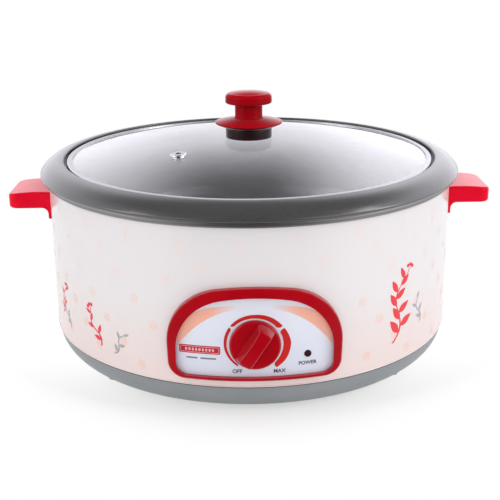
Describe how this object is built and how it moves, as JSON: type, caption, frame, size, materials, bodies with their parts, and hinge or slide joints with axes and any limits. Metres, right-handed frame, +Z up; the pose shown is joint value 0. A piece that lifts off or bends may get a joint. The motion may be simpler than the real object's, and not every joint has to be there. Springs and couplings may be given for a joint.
{
  "type": "electric hot pot with lift-off lid",
  "caption": "Countertop electric hot pot: printed steel shell on a moulded base, lift-out pot, glass lid with a knob, side handles and a thermostat dial with a lamp.",
  "frame": {"origin": "on the table under the middle of the pot, in the plane of the four feet", "axes": "+Z up, -Y towards the control panel, +X to the right of someone facing the panel"},
  "size_m": [0.394, 0.3602, 0.2068],
  "materials": {
    "printed_enamel": "gloss enamel on steel sheet, pinkish white with a pale printed pattern",
    "bright_steel": "polished stainless steel",
    "grey_plastic": "mid grey moulded plastic, satin",
    "black_rubber": "matt",
    "nonstick_pot": "cast aluminium with a dark grey satin non-stick coat",
    "lid_glass": "clear tempered glass",
    "black_plastic": "black phenolic",
    "red_plastic": "deep red gloss plastic",
    "white_plastic": "white printed plastic",
    "lamp_red": "dark red translucent",
    "cast_aluminium": "as cast",
    "element_steel": "dark oxidised sheath",
    "ceramic_bead": "plain white",
    "zinc_steel": "zinc plated",
    "aluminised_sheet": "thin sheet",
    "brown_phenolic": "brown phenolic",
    "brass_fittings": "machined",
    "copper_tube": "drawn copper",
    "wire_brown": "silicone insulation",
    "wire_red": "silicone insulation",
    "wire_blue": "silicone insulation",
    "wire_green": "silicone insulation",
    "clear_silicone": "translucent silicone"
  },
  "bodies": {
    "root": {"base_screws": "zinc_steel", "base_tray": "grey_plastic", "bulb_clip": "zinc_steel", "capillary_tube": "copper_tube", "earth_screw": "brass_fittings", "earth_wire": "wire_green", "element_terminals": "ceramic_bead", "face_plate": "white_plastic", "fuse_clip": "zinc_steel", "fused_wire": "wire_red", "handle_left": "red_plastic", "handle_plates": "zinc_steel", "handle_right": "red_plastic", "handle_screws": "zinc_steel", "heat_shield": "aluminised_sheet", "heater_plate": "cast_aluminium", "heating_element": "element_steel", "indicator_lamp": "lamp_red", "inlet_housing": "black_plastic", "inlet_pins": "brass_fittings", "inlet_screws": "zinc_steel", "lamp_lens": "lamp_red", "lamp_wire": "wire_red", "live_wire": "wire_brown", "neutral_wire": "wire_blue", "outer_shell": "printed_enamel", "panel_bezel": "red_plastic", "panel_bracket": "zinc_steel", "panel_screws": "zinc_steel", "plate_posts": "zinc_steel", "post_screws": "zinc_steel", "rubber_feet": "black_rubber", "sensor_bulb": "copper_tube", "shell_nuts": "zinc_steel", "switched_wire": "wire_red", "thermal_fuse": "ceramic_bead", "thermostat_body": "brown_phenolic", "thermostat_nut": "brass_fittings", "trim_ring": "bright_steel"},
    "inner_pot": {"inner_pot": "nonstick_pot"},
    "lid": {"lid_glass": "lid_glass", "lid_rim": "bright_steel", "vent_grommet": "bright_steel", "knob_base": "black_plastic", "lid_knob": "red_plastic", "knob_insert": "brass_fittings", "knob_screw": "bright_steel", "knob_gasket": "clear_silicone", "knob_washer": "bright_steel"},
    "dial": {"dial_knob": "red_plastic", "shaft_clip": "zinc_steel", "thermostat_shaft": "brass_fittings"}
  },
  "joints": [
    {"name": "dial_turn", "type": "hinge", "parent": "root", "child": "dial", "pos_m": [0, -0.165, 0.0565], "axis": [0, 1, 0], "range_deg": [0, 288]},
    {"name": "pot_lift", "type": "slide", "parent": "root", "child": "inner_pot", "axis": [0, 0, 1], "range_m": [0, 0.15]},
    {"name": "lid_lift", "type": "slide", "parent": "inner_pot", "child": "lid", "axis": [0, 0, 1], "range_m": [0, 0.1]}
  ]
}
